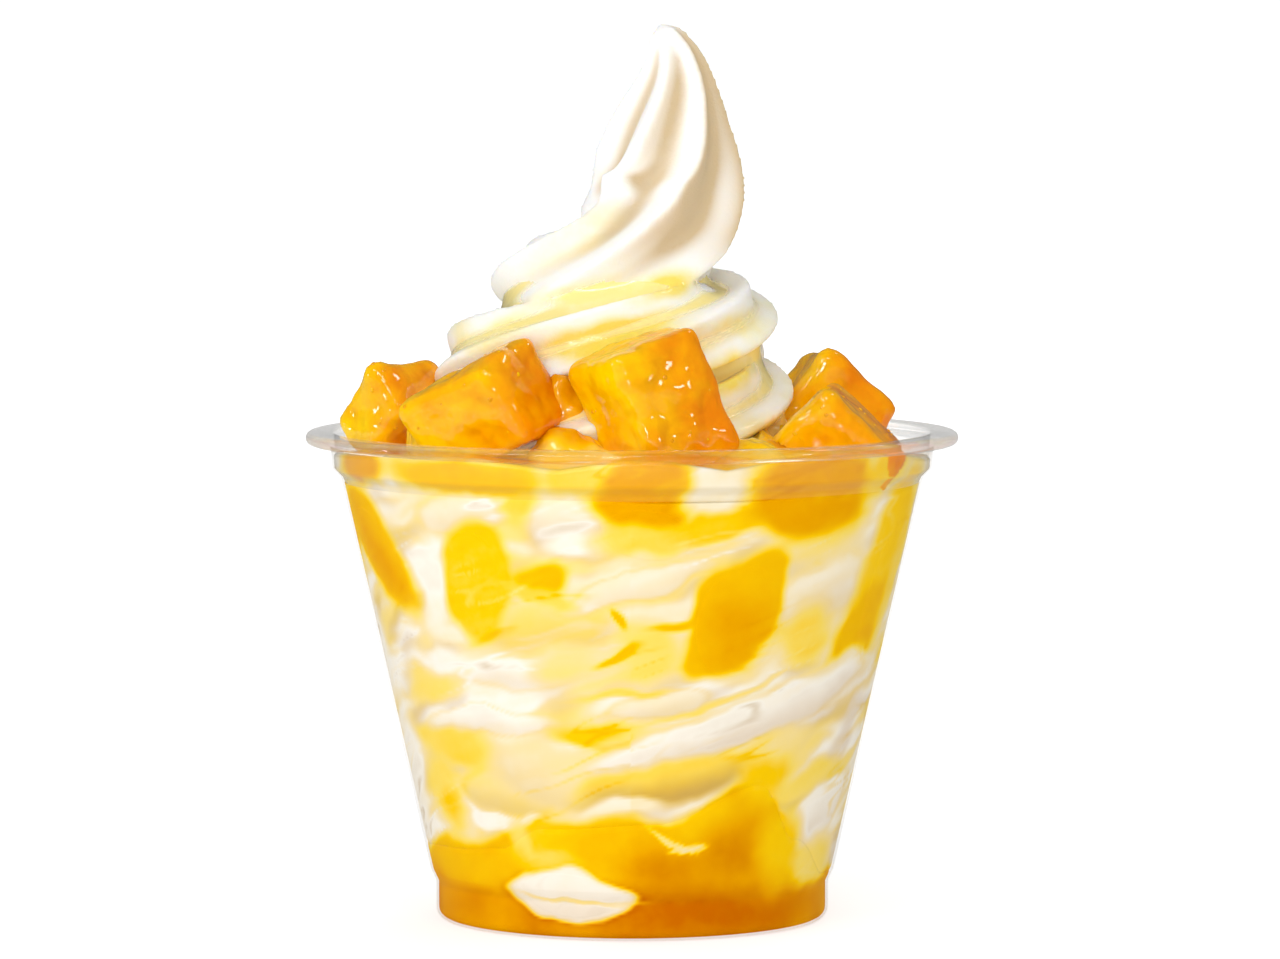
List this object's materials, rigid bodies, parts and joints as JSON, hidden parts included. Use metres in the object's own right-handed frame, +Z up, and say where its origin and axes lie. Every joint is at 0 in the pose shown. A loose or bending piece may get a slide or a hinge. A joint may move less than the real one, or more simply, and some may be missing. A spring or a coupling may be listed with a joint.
{
  "type": "frozen yogurt cup",
  "caption": "Soft-serve frozen yogurt swirl with mango sauce and mango chunks in a clear plastic dessert cup with a rolled rim.",
  "frame": {"origin": "centre of the cup's base, on the plane of its standing ring", "axes": "+Z up along the cup's axis; -Y is the front, the side that the picture shows"},
  "size_m": [0.092, 0.092, 0.1262],
  "materials": {
    "cup": "clear, glossy thin plastic",
    "frozen_yogurt": "smooth, softly wet frozen yogurt",
    "mango_sauce": "wet, slightly see-through sauce",
    "mango": "glazed fruit"
  },
  "bodies": {
    "root": {"cup": "cup", "frozen_yogurt": "frozen_yogurt", "yogurt_blob": "frozen_yogurt", "mango_sauce_pool": "mango_sauce", "sauce_pocket_1": "mango_sauce", "sauce_pocket_2": "mango_sauce", "sauce_pocket_3": "mango_sauce", "sauce_pocket_4": "mango_sauce", "sauce_pocket_5": "mango_sauce", "sauce_pocket_6": "mango_sauce", "sauce_pocket_7": "mango_sauce", "sauce_pocket_8": "mango_sauce", "mango_chunk_1": "mango", "mango_chunk_2": "mango", "mango_chunk_3": "mango", "mango_chunk_4": "mango", "mango_chunk_5": "mango", "mango_chunk_6": "mango", "mango_chunk_7": "mango", "mango_chunk_8": "mango", "mango_chunk_9": "mango"}
  },
  "joints": []
}
